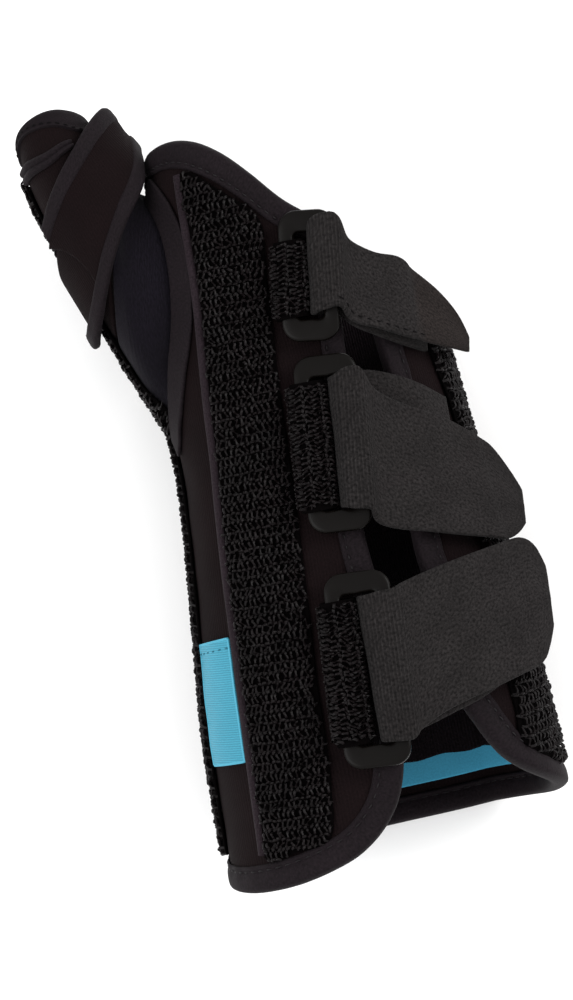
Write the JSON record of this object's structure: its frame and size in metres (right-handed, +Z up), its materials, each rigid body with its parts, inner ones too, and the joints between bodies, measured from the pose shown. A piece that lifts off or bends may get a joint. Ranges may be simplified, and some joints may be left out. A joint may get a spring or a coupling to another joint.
{
  "type": "thumb spica brace",
  "caption": "Soft wrist and thumb brace lying on its back: a cloth tube for the forearm and palm with a thumb sleeve, closed by ringed hook-and-loop straps",
  "frame": {"origin": "the centre of the flat underside of the body panel, the face that the brace lies on", "axes": "+Z up from that face to the lengthwise opening, +Y along the brace from the forearm rim to the palm rim, +X across it away from the thumb"},
  "size_m": [0.1195, 0.215, 0.0811],
  "materials": {
    "shell_cloth": "black brushed laminate",
    "binding_tape": "smooth black folded tape",
    "knit_cloth": "black fine-rib knit",
    "lining_cloth": "teal-blue lining",
    "loop_pile": "rough black loop pile in crimped rows",
    "strap_cloth": "soft black strap cloth",
    "ring_plastic": "satin black moulded plastic",
    "label_satin": "woven teal satin, blank"
  },
  "bodies": {
    "root": {"shell": "shell_cloth", "edge_binding": "binding_tape", "inner_knit": "knit_cloth", "lining": "lining_cloth", "front_loop_strip": "loop_pile", "back_loop_strip": "loop_pile", "right_loop_strip": "loop_pile", "thumb_loop_strip": "loop_pile", "ring_tab_1": "loop_pile", "ring_tab_2": "loop_pile", "ring_tab_3": "loop_pile", "side_label": "label_satin", "strip_edge_piping": "binding_tape", "gusset_binding": "binding_tape", "ring_1": "ring_plastic", "ring_2": "ring_plastic", "ring_3": "ring_plastic", "strap_1": "strap_cloth", "strap_2": "strap_cloth", "strap_3": "strap_cloth", "thumb_gusset": "knit_cloth", "thumb_sleeve": "shell_cloth", "thumb_sleeve_binding": "binding_tape", "thumb_seam": "binding_tape", "thumb_strap": "strap_cloth", "thumb_strap_tab": "strap_cloth", "thumb_strap_binding_upper": "binding_tape", "thumb_strap_binding_lower": "binding_tape"}
  },
  "joints": []
}
